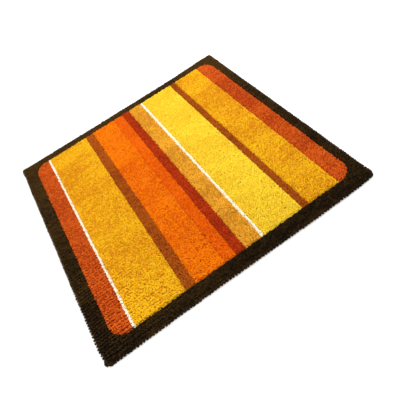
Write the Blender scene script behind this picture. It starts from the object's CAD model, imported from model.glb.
"""A square wool rug with a thick cut pile, dressed for its picture.

The rug is a thin woven ground cloth with its pile tied into it in rows. The
border, its rim and each stripe of the field are pieces of their own: thousands
of cut yarn ends, planted row by row and joined into one mesh. Metres, +Z up, in
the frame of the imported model.
"""

import math

import bmesh
import bpy
import numpy as np
from mathutils import Matrix, Vector


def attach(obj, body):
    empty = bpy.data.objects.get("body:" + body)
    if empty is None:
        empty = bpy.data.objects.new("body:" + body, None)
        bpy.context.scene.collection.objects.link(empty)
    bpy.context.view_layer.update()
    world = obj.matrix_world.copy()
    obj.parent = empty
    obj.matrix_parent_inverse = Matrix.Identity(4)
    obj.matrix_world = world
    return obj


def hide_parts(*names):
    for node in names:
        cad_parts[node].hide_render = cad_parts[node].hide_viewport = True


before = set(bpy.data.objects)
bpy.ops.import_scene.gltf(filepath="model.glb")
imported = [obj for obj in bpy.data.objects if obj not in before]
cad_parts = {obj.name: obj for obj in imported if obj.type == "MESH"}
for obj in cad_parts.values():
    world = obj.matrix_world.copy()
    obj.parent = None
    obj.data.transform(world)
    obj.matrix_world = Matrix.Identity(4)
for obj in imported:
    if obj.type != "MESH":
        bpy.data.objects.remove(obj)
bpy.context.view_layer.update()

SOLID = "pile_rug"
SEED = 11

# Rug
WALL_HEIGHT = 0.0075  # where the solid's wall is widest
SAME_HEIGHT = 0.0001  # points this near to it are on the wall
PILE_TOP = 0.0180  # mean height of the pile above the floor
CORNER_SHARPNESS = 100  # how quickly the rim turns at a corner
TINY = 1e-30  # keeps the middle, which faces no side, from dividing by zero
ROOM = 0.020  # a side may stray this far past its narrowest place
FOLLOW = 12  # how steeply the rows bend to follow an uneven side, near it

# Ground cloth
GROUND_THICK = 0.0028
GROUND_INSET = 0.0060  # in from the solid's wall
GROUND_COLUMNS = 24
RIBS = 124  # rows of knots that show as ribs below
RIB_DEPTH = 0.0006
NEAR_MIDDLE = 1e-6  # this near to the middle, a point has no direction
SHARP_FOLD = 50.0  # degrees, past which an edge is shaded sharp
UNDYED = {"pale": (176, 150, 112), "deep": (134, 108, 76)}

# Rows of knots run along X
ROW_PITCH = 0.0051
END_PITCH = 0.0055  # between yarn ends along a row
ROWS_A_LOCK = 3  # that gather into a ridge, and a lock where it ends on the left
ROW_GATHER = 0.45  # how far they draw together there
GATHER_RUN = 0.22  # fades over about this run, away from the left side
RIDGE_RISE = 0.0011
RIDGE_DYE = 0.30  # paler along a ridge, deeper between two
END_JITTER = 0.0010  # off the row's even spacing
ROW_JITTER = 0.0009  # off the row's line
FOOT = 0.0006  # height of the roots above the floor

# One yarn end, from its root up: radius, share of its height, and its radius on
# the flat map
YARN_RINGS = (
    {"radius": 0.0028, "rise": 0.0, "on_map": 0.0027},
    {"radius": 0.0041, "rise": 0.62, "on_map": 0.0019},
    {"radius": 0.0022, "rise": 1.0, "on_map": 0.0010},
)
YARN_SIDES = 3
BEND = 1.5  # how much more a yarn end leans towards its tip
SIZE_SPREAD = 0.18  # thicker or thinner, as a share

# How the pile stands
HEIGHT_SPREAD = 0.0015  # one yarn end to the next
SPREAD_LIMIT = 0.0025  # and at most
CLUMP_RISE = 0.0015  # the yarn ends of a knot or two
SWELL_RISE = 0.0008  # slow swelling
LEAN_SPREAD = 0.0013  # sideways, at the tip
CLUMP_LEAN = 0.0016  # of the yarn ends of a knot or two, together
NAP = (-0.0012, -0.0010)  # the way the whole pile leans, at the tip

# How far an unevenness runs along X and along Y
CLUMP_RUN = (0.0085, 0.0054)
STREAK_RUN = (0.030, 0.0058)
SWELL_RUN = (0.170, 0.140)
BLOTCH_RUN = (0.260, 0.090)
SPARE_POINTS = 3  # of its lattice, past the whole steps across the rug

# Uneven dye, as shares of the way from the pale to the deep tone
END_DYE = 0.44
CLUMP_DYE = 0.26
STREAK_DYE = 0.44
BLOTCH_DYE = 0.48
MID_DYE = 0.5  # the mean, halfway
BORDER_FADE = 0.68  # the border's wool, paler at the back and deeper in front
FADE_END = 0.70  # of the way to the back, past which it gets no paler
BORDER_CALM = 0.48  # share of the unevenness that its dye keeps

# Rim, where the pile fans out and falls to the floor
FAN_ROOT = 0.0075  # in from the solid's wall
FAN_LENGTH = 0.0165  # of the yarn ends that fan out
FAN_ANGLES = (36.0, 50.0, 64.0, 78.0)  # from upright, row by row
FIRST_ANGLE = 22.0  # of the first row inside them
FAN_WIDTH = 0.020  # inwards, until the pile stands upright
ANGLE_FADE = 1.4  # how soon it does so
FAN_JITTER = 5.0  # degrees more or less, one yarn end to the next
FAN_EVEN = 0.3  # share of the unevenness in length that its yarn ends keep
LOWEST = 0.0003  # what lies on the floor is pressed flat there
RIM_WAVE = 0.0009  # slow wandering of the rim
RIM_WAVE_RUN = (0.055, 0.055)
TIP_GATHER = 0.0026  # how far the outer tips of a lock draw together
# How far the rim comes out at a lock's middle, and falls back at its partings
LOCK_REACH = {"left": 0.0036, "right": 0.0014, "front": 0.0006, "back": 0.0004}

# Corners, by the signs of X and Y: how far each is drawn in along X and along Y,
# how far its very tip is put out again both ways, and how nearly the fan fills it,
# from 0 for a round corner to past 1 for a point
CORNERS = {
    (1, 1): {"draw_x": 0.002, "draw_y": 0.003, "square": 0.0, "fill": 1.2},
    (1, -1): {"draw_x": -0.004, "draw_y": 0.004, "square": 0.0, "fill": 0.8},
    (-1, -1): {"draw_x": 0.009, "draw_y": -0.001, "square": 0.004, "fill": 1.8},
    (-1, 1): {"draw_x": 0.0, "draw_y": 0.0, "square": 0.002, "fill": 1.5},
}
DRAW_RUN = 0.070  # from the corner, as far as it is drawn in
SQUARE_RUN = 0.018  # and as far as it is put out
CORNER_RUN = 0.020  # along each side, where the fan has more yarn ends
CORNER_ENDS = 16  # how many more, in each row on each side of a corner

# Field and border, from the rug's own middle
FIELD = {"left": -0.623, "right": 0.644, "front": -0.627, "back": 0.640}
FIELD_CORNER = 0.070  # radius of its corners
GROOVE_DEPTH = 0.0055  # of the parting where two colours meet
GROOVE_WIDTH = 0.0055  # to either side of it

# Plain stripes, from the left
STRIPES = (
    {"yarn": "rust", "width": 0.090},
    {"yarn": "cream", "width": 0.012},
    {"yarn": "gold", "width": 0.250},
    {"yarn": "brown", "width": 0.052},
    {"yarn": "orange", "width": 0.150},
    {"yarn": "flame", "width": 0.060},
    {"yarn": "brick", "width": 0.050},
    {"yarn": "ochre", "width": 0.085},
    {"yarn": "cream", "width": 0.014},
    {"yarn": "yellow", "width": 0.210},
    {"yarn": "brown", "width": 0.036},
    {"yarn": "gold", "width": 0.170},
    {"yarn": "rust", "width": 0.088},
)

# Numbers of the pile's other areas, before and after the stripes', which start at 1
BORDER = 0
RIM = len(STRIPES) + 1

# Dyed wool: two tones of each yarn, as seen on a screen, 0 to 255
YARNS = {
    "border": {"pale": (79, 55, 20), "deep": (27, 17, 4)},
    "cream": {"pale": (255, 252, 240), "deep": (252, 242, 216)},
    "yellow": {"pale": (248, 222, 60), "deep": (238, 196, 44)},
    "gold": {"pale": (244, 196, 28), "deep": (220, 146, 18)},
    "ochre": {"pale": (243, 182, 53), "deep": (211, 146, 37)},
    "orange": {"pale": (244, 138, 3), "deep": (222, 97, 3)},
    "flame": {"pale": (240, 117, 3), "deep": (219, 90, 3)},
    "rust": {"pale": (221, 104, 27), "deep": (182, 68, 18)},
    "brown": {"pale": (183, 92, 20), "deep": (150, 68, 14)},
    "brick": {"pale": (197, 64, 14), "deep": (164, 47, 8)},
}
ROOT_SHADE = (0.58, 0.42, 0.32)  # red, green and blue kept at a root

# Finish of the pile
FIBRE_GRAIN = (420.0, 420.0, 90.0)  # grains to a metre along X, Y and Z
GRAIN_DETAIL = 1.0
GRAIN_MIDDLE = (0.25, 0.75)  # most of a grain's values lie here
GRAIN_SPAN = (0.2, 0.8)  # nearly all of them do here
ROOT_TO_TIP = (0.10, 0.90)  # of the height, from the root's tone to the yarn's own
WOOL_BRIGHTNESS = (0.90, 1.10)
WOOL_ROUGHNESS = (0.82, 0.98)
WOOL_SPECULAR = 0.10
WOOL_SHEEN = 0.04
SHEEN_ROUGHNESS = 0.5
WOOL_BUMP = 0.0006

# Finish of the ground cloth
WEAVE_GRAIN = (900.0, 260.0, 1.0)
KNOT_SCATTER = 0.35  # off their even rows, as a share
KNOT_EDGE = (0.25, 0.55)  # where a knot fades out, in pitches from its middle
KNOT_SHOW = 0.8  # how fully its yarn covers the weave below
BETWEEN_ROOTS = 0.6  # brightness of the dyed weave between the roots
WEAVE_ROUGHNESS = (0.85, 0.97)
WEAVE_SPECULAR = 0.2
WEAVE_RELIEF = 0.35  # of the weave against the knots
WEAVE_BUMP = 0.0008

# Camera, from the rug's middle: angles in degrees, lens and sensor in millimetres
CAMERA_PLACE = (-0.2350, -1.4526, 1.5021)
CAMERA_AZIMUTH = -12.255
CAMERA_ELEVATION = 50.863
CAMERA_ROLL = -24.576
LENS = 35.70
SENSOR = 36.0

# Light and floor: lamps in watts
SKY_TONE = (1.0, 1.0, 1.0, 1.0)
SKY_STRENGTH = 0.95
LAMPS = (
    {"name": "key", "place": (1.8, 1.6, 2.6), "size": 1.6, "power": 75.0},
    {"name": "fill", "place": (-1.8, -1.2, 2.4), "size": 2.4, "power": 30.0},
)
FLOOR_TONE = (0.93, 0.93, 0.92, 1.0)
FLOOR_ROUGHNESS = 0.9
FLOOR_SPECULAR = 0.1
FLOOR_HALF = 12.0


def linear(level):
    """A screen level, 0 to 255, as light, by the usual curve of a screen."""
    share = level / 255
    if share <= 0.04045:
        return share / 12.92
    return ((share + 0.055) / 1.055) ** 2.4


def tone(levels):
    """A colour for the shader from three screen levels."""
    return (*[linear(level) for level in levels], 1.0)


def root_tone(yarn):
    """The deep tone as it looks down between the yarn ends."""
    light = tone(yarn["deep"])
    return (*[level * kept for level, kept in zip(light, ROOT_SHADE)], 1.0)


def wall_line():
    """Angle and distance of the solid's wall from the middle, all round."""
    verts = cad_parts[SOLID].data.vertices
    points = np.array([vert.co[:] for vert in verts])
    wall = points[np.abs(points[:, 2] - WALL_HEIGHT) < SAME_HEIGHT]
    angle = np.arctan2(wall[:, 1], wall[:, 0])
    order = np.argsort(angle)
    return angle[order], np.hypot(wall[:, 0], wall[:, 1])[order]


WALL_ANGLE, WALL_REACH = wall_line()
HALF = float(WALL_REACH.min())


def reach_at(x, y):
    """Distance from the middle to the wall, in the direction of a point."""
    return np.interp(np.arctan2(y, x), WALL_ANGLE, WALL_REACH, period=2 * math.pi)


def inside_wall(x, y):
    """How far inside the wall a point lies, square to the nearest side."""
    return (1 - np.hypot(x, y) / reach_at(x, y)) * HALF


def outwards(x, y):
    """The direction out of the nearest side, turning smoothly at the corners."""
    out_x = np.sign(x) * (np.abs(x) / HALF) ** CORNER_SHARPNESS
    out_y = np.sign(y) * (np.abs(y) / HALF) ** CORNER_SHARPNESS
    size = np.hypot(out_x, out_y) + TINY
    return out_x / size, out_y / size


def into_border(x, y):
    """Distance past the field's rounded edge: negative in the field."""
    middle_x = (FIELD["left"] + FIELD["right"]) / 2
    middle_y = (FIELD["front"] + FIELD["back"]) / 2
    half_x = (FIELD["right"] - FIELD["left"]) / 2 - FIELD_CORNER
    half_y = (FIELD["back"] - FIELD["front"]) / 2 - FIELD_CORNER
    past_x = np.abs(x - middle_x) - half_x
    past_y = np.abs(y - middle_y) - half_y
    outer = np.hypot(np.maximum(past_x, 0), np.maximum(past_y, 0))
    return outer + np.minimum(np.maximum(past_x, past_y), 0) - FIELD_CORNER


def stripe_edges():
    """Where each stripe begins along X, and where the last one ends."""
    widths = [stripe["width"] for stripe in STRIPES]
    return FIELD["left"] + np.cumsum([0.0, *widths])


def stripe_at(x, y):
    """The number of the stripe at each place, or the border's."""
    stripe = np.searchsorted(stripe_edges(), x).clip(1, len(STRIPES))
    return np.where(into_border(x, y) > 0, BORDER, stripe)


def groove(x, y):
    """How much the pile parts at a change of colour, 0 to 1."""
    border = np.abs(into_border(x, y))
    nearest = np.abs(x[:, None] - stripe_edges()[None, 1:-1]).min(1)
    nearest = np.where(into_border(x, y) > 0, border, np.minimum(nearest, border))
    return np.clip(1 - nearest / GROOVE_WIDTH, 0, 1)


def eased(turn):
    """A share, 0 to 1, that starts and ends gently."""
    return turn**2 * (3 - 2 * turn)


def uneven(x, y, chance, run):
    """A smooth random value, -1 to 1, that changes over run along X and Y."""
    span = HALF + ROOM
    columns, rows = [int(2 * span / length) + SPARE_POINTS for length in run]
    lattice = chance.uniform(-1, 1, (rows, columns))
    across, up = (x + span) / run[0], (y + span) / run[1]
    column, row = across.astype(int), up.astype(int)
    turn_x, turn_y = eased(across - column), eased(up - row)
    low, high = [
        lattice[line, column] * (1 - turn_x) + lattice[line, column + 1] * turn_x
        for line in (row, row + 1)
    ]
    return low * (1 - turn_y) + high * turn_y


def yarn_end():
    """One cut yarn end of unit height: three-sided, fullest above its middle."""
    root, *upper = YARN_RINGS
    bm = bmesh.new()
    bmesh.ops.create_circle(bm, segments=YARN_SIDES, radius=root["radius"])
    edges = bm.edges[:]
    for row in upper:
        grown = bmesh.ops.extrude_edge_only(bm, edges=edges)["geom"]
        ring = [item for item in grown if isinstance(item, bmesh.types.BMVert)]
        edges = [item for item in grown if isinstance(item, bmesh.types.BMEdge)]
        edges = [edge for edge in edges if all(vert in ring for vert in edge.verts)]
        size = row["radius"] / ring[0].co.xy.length
        turn = Matrix.Rotation(math.pi / YARN_SIDES, 3, "Z")
        bmesh.ops.scale(bm, verts=ring, vec=(size, size, 1))
        bmesh.ops.rotate(bm, verts=ring, cent=(0, 0, 0), matrix=turn)
        bmesh.ops.translate(bm, verts=ring, vec=(0, 0, row["rise"] - ring[0].co.z))
    bmesh.ops.contextual_create(bm, geom=edges)
    bmesh.ops.triangulate(bm, faces=bm.faces[:], quad_method="SHORT_EDGE")
    bmesh.ops.recalc_face_normals(bm, faces=bm.faces[:])
    bm.verts.index_update()
    points = np.array([vert.co[:] for vert in bm.verts])
    faces = np.array([[vert.index for vert in face.verts] for face in bm.faces])
    lowest = min(bm.faces, key=lambda face: face.calc_center_median().z)
    outward = lowest.normal.dot(Vector((*lowest.calc_center_median().xy, 0))) > 0
    bm.free()
    return points, faces if outward else faces[:, ::-1]


def at_corner(x, y, column):
    """Reads a column of the corners' table for each point's own quarter."""
    value = np.zeros_like(x)
    for (sign_x, sign_y), corner in CORNERS.items():
        value[(np.sign(x) == sign_x) & (np.sign(y) == sign_y)] = corner[column]
    return value


def near_corner(x, y, half, run):
    """1 at a square's corners, falling to 0 at a run from them."""
    near_x = np.clip(1 - (half - np.abs(x)) / run, 0, 1)
    near_y = np.clip(1 - (half - np.abs(y)) / run, 0, 1)
    return near_x * near_y


def bend_to_sides(x, y, inset):
    """Bends a square's points so that its edge runs along the rug's own sides."""
    half = HALF - inset
    square = np.maximum(np.abs(x), np.abs(y))
    reach = reach_at(x, y) * square / np.hypot(x, y) - inset
    bent = 1 + (reach / half - 1) * (square / half) ** FOLLOW
    near = near_corner(x, y, half, DRAW_RUN)
    square_out = at_corner(x, y, "square") * near_corner(x, y, half, SQUARE_RUN)
    draw_x = at_corner(x, y, "draw_x") * near - square_out
    draw_y = at_corner(x, y, "draw_y") * near - square_out
    return x * bent - np.sign(x) * draw_x, y * bent - np.sign(y) * draw_y


def across_lock(along):
    """Where a place along a side lies in its lock: 0 at its middle, 0.5 at a parting."""
    span = 2 * (HALF - FAN_ROOT)
    row = (along / span + 0.5) * round(span / ROW_PITCH)
    return (row + 0.5) / ROWS_A_LOCK % 1 - 0.5


def upright_roots(chance):
    """Even rows of knots over the whole rug, and how far each leans outwards."""
    half = HALF - FAN_ROOT
    rows = round(2 * half / ROW_PITCH) + 1
    ends = round(2 * half / END_PITCH) + 1
    x, y = np.meshgrid(np.linspace(-half, half, ends), np.linspace(-half, half, rows))
    x[1:-1:2, 1:-1] += END_PITCH / 2
    gathered = np.exp(-(x + half) / GATHER_RUN)
    ridge = (np.cos(2 * math.pi * across_lock(y)) * gathered).ravel()
    y -= across_lock(y) * ROWS_A_LOCK * ROW_PITCH * ROW_GATHER * gathered
    x = x.ravel() + chance.uniform(-END_JITTER, END_JITTER, x.size)
    y = y.ravel() + chance.uniform(-ROW_JITTER, ROW_JITTER, y.size)
    x, y = bend_to_sides(x, y, FAN_ROOT)
    near = np.clip(1 - (inside_wall(x, y) - FAN_ROOT) / FAN_WIDTH, 0, 1)
    angle = FIRST_ANGLE * near**ANGLE_FADE
    return {"x": x, "y": y, "angle": angle, "row": np.zeros_like(x), "ridge": ridge}


def fan_roots(chance):
    """Roots all round the rim, once for each row of the fan, every other one staggered."""
    half = HALF - FAN_ROOT
    even = np.linspace(-half, half, round(2 * half / END_PITCH), endpoint=False)
    corner = half - np.linspace(0, CORNER_RUN, CORNER_ENDS)
    side = np.full(even.size + 2 * corner.size, half)
    x, y = [], []
    for number in range(len(FAN_ANGLES)):
        along = np.concatenate([even + number % 2 * END_PITCH / 2, corner, -corner])
        x += [along, side, -along, -side]
        y += [-side, along, side, -along]
    x, y = np.concatenate(x), np.concatenate(y)
    x += chance.uniform(-END_JITTER, END_JITTER, x.size)
    y += chance.uniform(-END_JITTER, END_JITTER, y.size)
    x, y = bend_to_sides(x, y, FAN_ROOT)
    row = np.repeat(np.arange(1, len(FAN_ANGLES) + 1), 4 * side.size)
    angle = np.array(FAN_ANGLES)[row - 1] + chance.uniform(-FAN_JITTER, FAN_JITTER, x.size)
    return {"x": x, "y": y, "angle": angle, "row": row, "ridge": np.zeros_like(x)}


def lock_reach(x, y, out_x, out_y, chance):
    """How much further each tip comes out of the rim, and along it into its lock."""
    row_ends = np.abs(out_x) > np.abs(out_y)
    place = across_lock(np.where(row_ends, y, x))
    at_end = np.where(x < 0, LOCK_REACH["left"], LOCK_REACH["right"])
    at_side = np.where(y < 0, LOCK_REACH["front"], LOCK_REACH["back"])
    further = np.where(row_ends, at_end, at_side) * np.cos(2 * math.pi * place)
    further += RIM_WAVE * uneven(x, y, chance, RIM_WAVE_RUN)
    return further, -2 * place * TIP_GATHER


def over_corner(x, y, out_x, out_y):
    """Share by which the rim reaches further out over a corner."""
    fill = at_corner(x, y, "fill")
    return fill * (1 / np.maximum(np.abs(out_x), np.abs(out_y)) - 1)


def knots():
    """Every yarn end of the rug: its root, height, lean, turn, size and dye."""
    chance = np.random.default_rng(SEED)
    upright, fanned = upright_roots(chance), fan_roots(chance)
    roots = [np.concatenate([upright[key], fanned[key]]) for key in upright]
    x, y, angle, row, ridge = roots
    count = len(x)
    out_x, out_y = outwards(x, y)
    tilt = np.radians(angle)
    clump = uneven(x, y, chance, CLUMP_RUN)
    # How long each yarn end is
    length = np.where(row > 0, FAN_LENGTH, PILE_TOP - FOOT)
    length += SWELL_RISE * uneven(x, y, chance, SWELL_RUN)
    spread = chance.normal(0, HEIGHT_SPREAD, count).clip(-SPREAD_LIMIT, SPREAD_LIMIT)
    spread += CLUMP_RISE * clump
    length += np.where(row > 0, FAN_EVEN * spread, spread)
    length += RIDGE_RISE * ridge - GROOVE_DEPTH * groove(x, y)
    # How far its tip comes out of the rim, gathers into a lock and leans
    further, gather = lock_reach(x, y, out_x, out_y, chance)
    push = (length + further) * np.sin(tilt) * (1 + over_corner(x, y, out_x, out_y))
    gather *= np.sin(tilt)
    lean_x = NAP[0] + chance.normal(0, LEAN_SPREAD, count)
    lean_y = NAP[1] + chance.normal(0, LEAN_SPREAD, count)
    lean_x += CLUMP_LEAN * uneven(x, y, chance, CLUMP_RUN)
    lean_y += CLUMP_LEAN * uneven(x, y, chance, CLUMP_RUN)
    # How deep its dye is
    dye = chance.normal(0, END_DYE, count) - CLUMP_DYE * clump - RIDGE_DYE * ridge
    dye += STREAK_DYE * uneven(x, y, chance, STREAK_RUN)
    dye += BLOTCH_DYE * uneven(x, y, chance, BLOTCH_RUN)
    stripe = np.where(row > 0, RIM, stripe_at(x, y))
    in_border = (stripe == BORDER) | (stripe == RIM)
    fade = BORDER_FADE / 2 * np.minimum(y / HALF, FADE_END)
    dye = np.where(in_border, BORDER_CALM * dye - fade, dye) + MID_DYE
    return {
        "x": x,
        "y": y,
        "height": FOOT + length * np.cos(tilt),
        "lean_x": lean_x * np.cos(tilt) + out_x * push + np.abs(out_y) * gather,
        "lean_y": lean_y * np.cos(tilt) + out_y * push + np.abs(out_x) * gather,
        "out_x": out_x,
        "out_y": out_y,
        "tilt": tilt,
        "turn": chance.uniform(0, 2 * math.pi, count),
        "size": 1 + chance.uniform(-SIZE_SPREAD, SIZE_SPREAD, count),
        "dye": dye.clip(0, 1),
        "row": row,
        "stripe": stripe,
    }


def joined(name, points, faces):
    """One mesh from a whole array of points and triangles."""
    mesh = bpy.data.meshes.new(name)
    mesh.vertices.add(len(points))
    mesh.vertices.foreach_set("co", points.astype(np.float32).ravel())
    mesh.loops.add(faces.size)
    mesh.loops.foreach_set("vertex_index", faces.astype(np.int32).ravel())
    mesh.polygons.add(len(faces))
    starts = np.arange(len(faces), dtype=np.int32) * faces.shape[1]
    mesh.polygons.foreach_set("loop_start", starts)
    mesh.update(calc_edges=True)
    mesh.shade_smooth()
    return mesh


def mark(mesh, name, values):
    """Gives each point of a mesh a value for the material to read."""
    layer = mesh.attributes.new(name, "FLOAT", "POINT")
    layer.data.foreach_set("value", values.astype(np.float32).ravel())


def lay_map(mesh, flat, faces):
    """Lays a piece's flat map over the whole of the square that it may fill."""
    low, high = flat.min(0), flat.max(0)
    layer = mesh.uv_layers.new(name="OFBake")
    places = ((flat - low) / (high - low))[faces.ravel()]
    layer.uv.foreach_set("vector", places.astype(np.float32).ravel())


def plant(name, knot, chosen, end_points, end_faces):
    """Stands a copy of the yarn end on every chosen root, as one piece."""
    pick = {key: values[chosen][:, None] for key, values in knot.items()}
    rise = end_points[None, :, 2]
    # Each yarn end's own section, turned about its root
    cos, sin = np.cos(pick["turn"]), np.sin(pick["turn"])
    across = (end_points[None, :, 0] * cos - end_points[None, :, 1] * sin) * pick["size"]
    aside = (end_points[None, :, 0] * sin + end_points[None, :, 1] * cos) * pick["size"]
    # The section tips outwards with the lean, and what meets the floor is pressed flat
    tilt = pick["tilt"] * rise
    out = across * pick["out_x"] + aside * pick["out_y"]
    drawn = out * (np.cos(tilt) - 1)
    x = pick["x"] + across + pick["lean_x"] * rise**BEND + pick["out_x"] * drawn
    y = pick["y"] + aside + pick["lean_y"] * rise**BEND + pick["out_y"] * drawn
    z = FOOT + (pick["height"] - FOOT) * rise - out * np.sin(tilt)
    points = np.stack([x, y, np.maximum(z, LOWEST)], 2).reshape(-1, 3)
    first = np.arange(len(points) // len(end_points))[:, None, None] * len(end_points)
    faces = (end_faces[None] + first).reshape(-1, 3)
    mesh = joined(name, points, faces)
    mark(mesh, "dye", np.repeat(pick["dye"], rise.size))
    mark(mesh, "up_the_pile", np.tile(rise[0], len(pick["x"])))
    # On the map the fan's rows lie side by side, outside the upright ones
    rises = [row["rise"] for row in YARN_RINGS]
    shares = [row["on_map"] / row["radius"] for row in YARN_RINGS]
    spread = np.interp(rise, rises, shares)
    flat_x = pick["x"] + pick["out_x"] * pick["row"] * ROW_PITCH + across * spread
    flat_y = pick["y"] + pick["out_y"] * pick["row"] * ROW_PITCH + aside * spread
    flat = np.stack([flat_x, flat_y], 2)
    lay_map(mesh, flat.reshape(-1, 2), faces)
    piece = bpy.data.objects.new(name, mesh)
    bpy.context.scene.collection.objects.link(piece)
    return piece


class Shader:
    """Nodes of one material, added and joined in reading order."""

    def __init__(self, name):
        self.material = bpy.data.materials.new(name)
        self.material.use_nodes = True
        self.nodes = self.material.node_tree.nodes
        self.links = self.material.node_tree.links
        self.surface = self.nodes["Principled BSDF"]

    def add(self, kind, **settings):
        """A new node of a kind, with its settings."""
        node = self.nodes.new("ShaderNode" + kind)
        for key, value in settings.items():
            setattr(node, key, value)
        return node

    def feed(self, socket, value):
        """Joins another node's output to a socket, or sets a plain value on it."""
        if isinstance(value, bpy.types.NodeSocket):
            self.links.new(value, socket)
        else:
            socket.default_value = value

    def place(self, scale=(1.0, 1.0, 1.0)):
        """Object coordinates, scaled."""
        mapping = self.add("Mapping")
        self.feed(mapping.inputs["Vector"], self.add("TexCoord").outputs["Object"])
        self.feed(mapping.inputs["Scale"], scale)
        return mapping.outputs["Vector"]

    def noise(self, scale):
        """A fine grain, 0 to 1, so many to a metre along each axis."""
        node = self.add("TexNoise")
        self.feed(node.inputs["Vector"], self.place(scale))
        self.feed(node.inputs["Scale"], 1.0)
        self.feed(node.inputs["Detail"], GRAIN_DETAIL)
        return node.outputs["Fac"]

    def read(self, name):
        """A value that the mesh's own points carry."""
        return self.add("Attribute", attribute_name=name).outputs["Fac"]

    def maths(self, operation, *values):
        """One step of arithmetic."""
        node = self.add("Math", operation=operation)
        for socket, value in zip(node.inputs, values):
            self.feed(socket, value)
        return node.outputs[0]

    def ranged(self, value, low, high, to_low=0.0, to_high=1.0, kind="SMOOTHSTEP"):
        """A value moved from one range to another, and kept within it."""
        node = self.add("MapRange", interpolation_type=kind)
        for socket, item in zip(node.inputs, (value, low, high, to_low, to_high)):
            self.feed(socket, item)
        return node.outputs["Result"]

    def mix(self, share, first, second):
        """One colour at a share of 0, the other at 1."""
        node = self.add("Mix", data_type="RGBA")
        colours = [socket for socket in node.inputs if socket.type == "RGBA"]
        self.feed(node.inputs[0], share)
        self.feed(colours[0], first)
        self.feed(colours[1], second)
        return next(socket for socket in node.outputs if socket.type == "RGBA")

    def brighten(self, colour, value):
        """A colour made lighter or darker."""
        node = self.add("HueSaturation")
        self.feed(node.inputs["Color"], colour)
        self.feed(node.inputs["Value"], value)
        return node.outputs["Color"]

    def bump(self, height, distance):
        """Shades the surface as if it were raised by up to a distance in metres."""
        node = self.add("Bump")
        self.feed(node.inputs["Distance"], distance)
        self.feed(node.inputs["Height"], height)
        self.feed(self.surface.inputs["Normal"], node.outputs["Normal"])

    def dress(self, **inputs):
        """Sets the surface's own sockets, named in lower case."""
        for name, value in inputs.items():
            self.feed(self.surface.inputs[name.replace("_", " ").title()], value)


def dyed_wool(name):
    """Cut wool pile: uneven dye, a fine fibre grain, deeper towards the root."""
    yarn = YARNS[name]
    wool = Shader(name + "_wool")
    grain = wool.noise(FIBRE_GRAIN)
    dyed = wool.mix(wool.read("dye"), tone(yarn["pale"]), tone(yarn["deep"]))
    up = wool.ranged(wool.read("up_the_pile"), *ROOT_TO_TIP)
    colour = wool.mix(up, root_tone(yarn), dyed)
    brightness = wool.ranged(grain, *GRAIN_MIDDLE, *WOOL_BRIGHTNESS)
    colour = wool.brighten(colour, brightness)
    roughness = wool.ranged(grain, *GRAIN_SPAN, *WOOL_ROUGHNESS)
    wool.dress(base_color=colour, roughness=roughness)
    wool.surface.inputs["Specular IOR Level"].default_value = WOOL_SPECULAR
    wool.dress(sheen_weight=WOOL_SHEEN, sheen_roughness=SHEEN_ROUGHNESS)
    wool.dress(sheen_tint=tone(yarn["pale"]))
    wool.bump(grain, WOOL_BUMP)
    return wool.material


def border_mask(cloth, place):
    """1 past the field's rounded edge and 0 inside it."""
    past = []
    for axis, low, high in (("X", "left", "right"), ("Y", "front", "back")):
        middle = (FIELD[low] + FIELD[high]) / 2
        half = (FIELD[high] - FIELD[low]) / 2 - FIELD_CORNER
        off = cloth.maths("ABSOLUTE", cloth.maths("SUBTRACT", place.outputs[axis], middle))
        off = cloth.maths("MAXIMUM", cloth.maths("SUBTRACT", off, half), 0.0)
        past.append(cloth.maths("MULTIPLY", off, off))
    past = cloth.maths("SQRT", cloth.maths("ADD", *past))
    return cloth.maths("GREATER_THAN", past, FIELD_CORNER)


def stripe_ramp(cloth, place):
    """The deep tone of the stripe at each place."""
    ramp = cloth.add("ValToRGB")
    ramp.color_ramp.interpolation = "CONSTANT"
    stops = ramp.color_ramp.elements
    stops.remove(stops[1])
    span = FIELD["right"] - FIELD["left"]
    for index, (edge, stripe) in enumerate(zip(stripe_edges(), STRIPES)):
        at = (edge - FIELD["left"]) / span
        stop = stops.new(at) if index else stops[0]
        stop.color = tone(YARNS[stripe["yarn"]]["deep"])
    across = cloth.ranged(place.outputs["X"], FIELD["left"], FIELD["right"], kind="LINEAR")
    cloth.feed(ramp.inputs["Fac"], across)
    return ramp.outputs["Color"]


def woven_ground():
    """Undyed weave with the backs of the knots in rows; dyed between the pile."""
    cloth = Shader("ground_weave")
    place = cloth.add("SeparateXYZ")
    cloth.feed(place.inputs[0], cloth.place())
    field = stripe_ramp(cloth, place)
    yarn = cloth.mix(border_mask(cloth, place), field, tone(YARNS["border"]["deep"]))
    knots_below = cloth.add("TexVoronoi", feature="F1")
    in_pitches = cloth.place((1 / END_PITCH, 1 / ROW_PITCH, 0.0))
    cloth.feed(knots_below.inputs["Vector"], in_pitches)
    cloth.feed(knots_below.inputs["Scale"], 1.0)
    cloth.feed(knots_below.inputs["Randomness"], KNOT_SCATTER)
    knot = cloth.ranged(knots_below.outputs["Distance"], *KNOT_EDGE, 1.0, 0.0)
    weave = cloth.noise(WEAVE_GRAIN)
    undyed = cloth.mix(weave, tone(UNDYED["pale"]), tone(UNDYED["deep"]))
    below = cloth.mix(cloth.maths("MULTIPLY", knot, KNOT_SHOW), undyed, yarn)
    above = cloth.maths("GREATER_THAN", place.outputs["Z"], GROUND_THICK / 2)
    colour = cloth.mix(above, below, cloth.brighten(yarn, BETWEEN_ROOTS))
    roughness = cloth.ranged(weave, *GRAIN_SPAN, *WEAVE_ROUGHNESS)
    cloth.dress(base_color=colour, roughness=roughness)
    cloth.surface.inputs["Specular IOR Level"].default_value = WEAVE_SPECULAR
    relief = cloth.maths("ADD", knot, cloth.maths("MULTIPLY", weave, WEAVE_RELIEF))
    cloth.bump(relief, WEAVE_BUMP)
    return cloth.material


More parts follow.
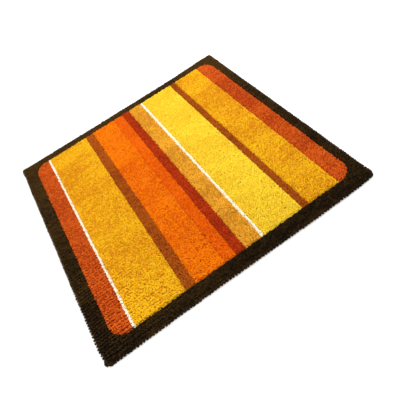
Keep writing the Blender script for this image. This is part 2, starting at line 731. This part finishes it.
def ground_cloth():
    """The woven sheet under the pile, ribbed below where the rows of knots are."""
    bm = bmesh.new()
    bmesh.ops.create_grid(bm, x_segments=GROUND_COLUMNS, y_segments=2 * RIBS, size=1.0)
    raised = bmesh.ops.extrude_face_region(bm, geom=bm.faces[:], use_keep_orig=True)
    top = [item for item in raised["geom"] if isinstance(item, bmesh.types.BMVert)]
    bmesh.ops.translate(bm, verts=top, vec=(0, 0, GROUND_THICK))
    for vert in bm.verts:
        share = max(abs(vert.co.x), abs(vert.co.y))
        line = round((vert.co.y + 1) * RIBS)
        if vert.co.z < GROUND_THICK / 2 and line % 2:
            vert.co.z = RIB_DEPTH
        if share > NEAR_MIDDLE:
            reach = float(reach_at(vert.co.x, vert.co.y)) - GROUND_INSET
            vert.co.xy *= share * reach / vert.co.xy.length
    bmesh.ops.recalc_face_normals(bm, faces=bm.faces[:])
    mesh = bpy.data.meshes.new("ground_cloth")
    bm.to_mesh(mesh)
    bm.free()
    mesh.set_sharp_from_angle(angle=math.radians(SHARP_FOLD))
    corners = [mesh.vertices[loop.vertex_index].co.xy[:] for loop in mesh.loops]
    lay_map(mesh, np.array(corners), np.arange(len(corners)))
    piece = bpy.data.objects.new("ground_cloth", mesh)
    bpy.context.scene.collection.objects.link(piece)
    mesh.materials.append(woven_ground())
    return piece


def pile():
    """All the pile: the border, its rim and each stripe of the field."""
    knot = knots()
    end_points, end_faces = yarn_end()
    wools = {name: dyed_wool(name) for name in YARNS}
    rows = [("border_pile", "border", BORDER), ("rim_pile", "border", RIM)]
    for number, stripe in enumerate(STRIPES, 1):
        rows.append((f"stripe_{number:02d}_{stripe['yarn']}", stripe["yarn"], number))
    pieces = []
    for name, yarn, number in rows:
        piece = plant(name, knot, knot["stripe"] == number, end_points, end_faces)
        piece.data.materials.append(wools[yarn])
        pieces.append(piece)
    return pieces


def pale_floor():
    """The plain floor that the rug lies on."""
    bm = bmesh.new()
    bmesh.ops.create_grid(bm, x_segments=1, y_segments=1, size=FLOOR_HALF)
    mesh = bpy.data.meshes.new("floor")
    bm.to_mesh(mesh)
    bm.free()
    paint = Shader("pale_floor")
    paint.dress(base_color=FLOOR_TONE, roughness=FLOOR_ROUGHNESS)
    paint.surface.inputs["Specular IOR Level"].default_value = FLOOR_SPECULAR
    mesh.materials.append(paint.material)
    floor = bpy.data.objects.new("floor", mesh)
    bpy.context.scene.collection.objects.link(floor)


def soft_light():
    """A white sky and two large lamps that point at the rug's middle."""
    world = bpy.data.worlds.new("studio")
    world.use_nodes = True
    background = world.node_tree.nodes["Background"]
    background.inputs["Color"].default_value = SKY_TONE
    background.inputs["Strength"].default_value = SKY_STRENGTH
    bpy.context.scene.world = world
    for row in LAMPS:
        light = bpy.data.lights.new(row["name"], "AREA")
        light.size = row["size"]
        light.energy = row["power"]
        lamp = bpy.data.objects.new(row["name"], light)
        lamp.location = row["place"]
        lamp.rotation_euler = (-Vector(row["place"])).to_track_quat("-Z", "Y").to_euler()
        bpy.context.scene.collection.objects.link(lamp)


def photo_camera():
    """The camera, at the photograph's place and angle."""
    lens = bpy.data.cameras.new("camera")
    lens.lens = LENS
    lens.sensor_width = SENSOR
    camera = bpy.data.objects.new("camera", lens)
    turn = Matrix.Rotation(math.radians(CAMERA_AZIMUTH), 4, "Z")
    tip = Matrix.Rotation(math.radians(90 - CAMERA_ELEVATION), 4, "X")
    roll = Matrix.Rotation(math.radians(CAMERA_ROLL), 4, "Z")
    camera.matrix_world = Matrix.Translation(CAMERA_PLACE) @ turn @ tip @ roll
    bpy.context.scene.collection.objects.link(camera)
    bpy.context.scene.camera = camera


photo_camera()
soft_light()
pale_floor()
bpy.context.scene.view_settings.view_transform = "Standard"
ground = ground_cloth()
pile_pieces = pile()
for piece in (ground, *pile_pieces):
    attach(piece, "root")
    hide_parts(SOLID)
